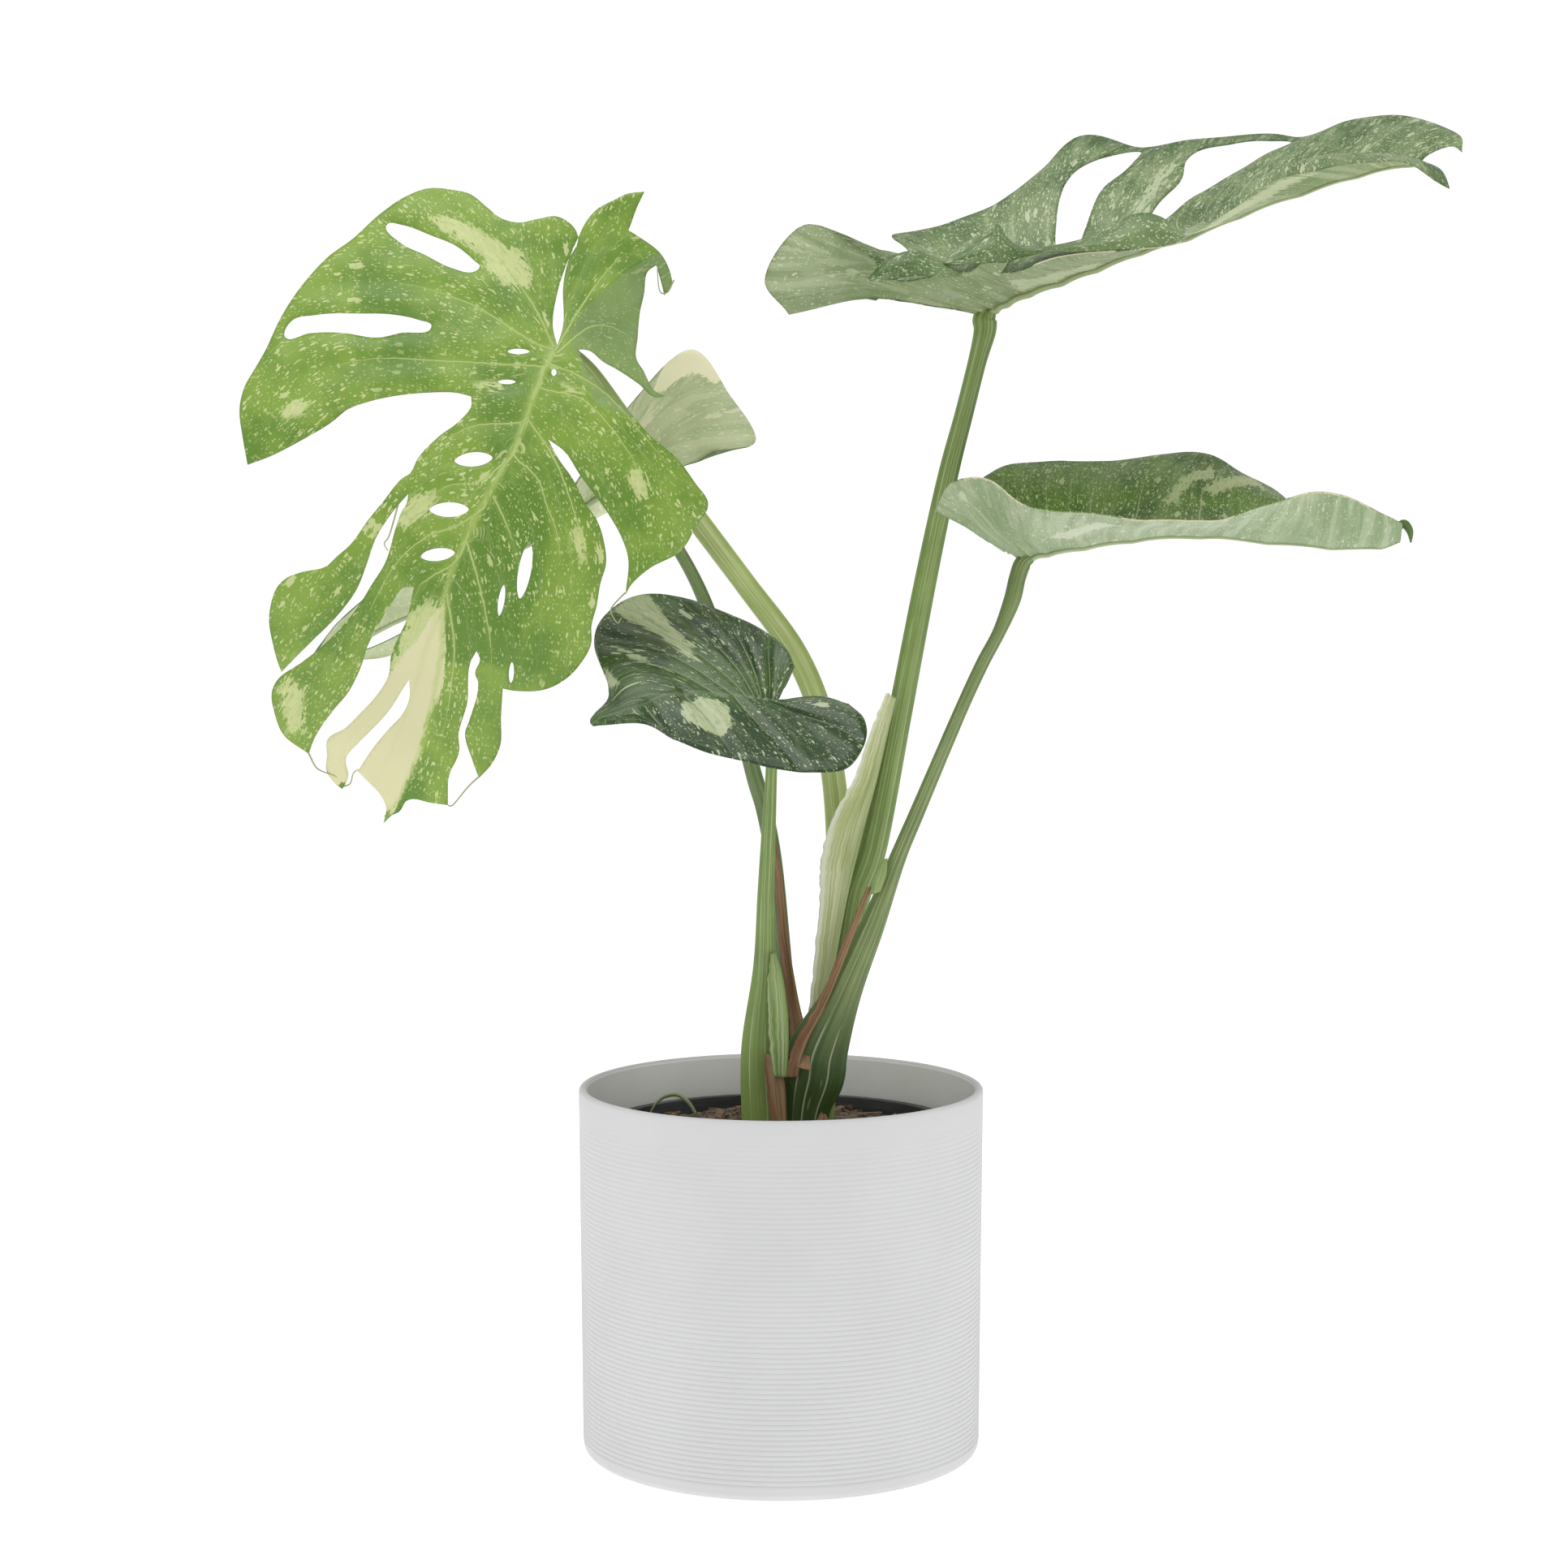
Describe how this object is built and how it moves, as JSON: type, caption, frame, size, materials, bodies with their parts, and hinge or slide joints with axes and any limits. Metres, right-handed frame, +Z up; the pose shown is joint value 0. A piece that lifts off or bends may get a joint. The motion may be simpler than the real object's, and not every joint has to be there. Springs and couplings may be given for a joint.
{
  "type": "potted monstera plant",
  "caption": "Potted monstera: split and whole speckled leaves on long stalks rising from potting mix in a ribbed white cylindrical cover pot.",
  "frame": {"origin": "centre of the cover pot's flat underside, where it rests on a surface", "axes": "+Z up along the pot's axis, -Y towards the front that the large split leaf faces, +X to the side that the two level leaves reach out to"},
  "size_m": [0.6515, 0.2236, 0.7279],
  "materials": {
    "white_ceramic": "matt, fine horizontal ribs",
    "nursery_plastic": "moulded, satin",
    "potting_mix": "loose damp peat, fibre and bark",
    "leaf_bright": "smooth yellow-green leaf with cream specks",
    "leaf_mid": "smooth grey-green leaf with cream specks",
    "leaf_dark": "smooth dark green leaf with cream specks",
    "leaf_grey": "smooth grey-green leaf with cream specks and patches",
    "stalk_green": "smooth green leaf stalk with faint pale stripes",
    "sheath_cream": "thin cream and green striped sheath",
    "dry_sheath": "dried brown papery sheath",
    "sprout_green": "soft young shoot"
  },
  "bodies": {
    "root": {"cover_pot": "white_ceramic", "nursery_pot": "nursery_plastic", "potting_mix": "potting_mix", "stalk_left": "stalk_green", "stalk_upper_right": "stalk_green", "stalk_lower_right": "stalk_green", "stalk_front": "stalk_green", "stalk_back": "stalk_green", "leaf_left": "leaf_bright", "leaf_upper_right": "leaf_mid", "leaf_lower_right": "leaf_dark", "leaf_front": "leaf_grey", "leaf_back": "leaf_grey", "sheath_upper_right": "sheath_cream", "dry_sheath_right": "dry_sheath", "dry_sheath_left": "dry_sheath", "dry_sheath_front": "dry_sheath", "young_shoot": "sprout_green"}
  },
  "joints": []
}
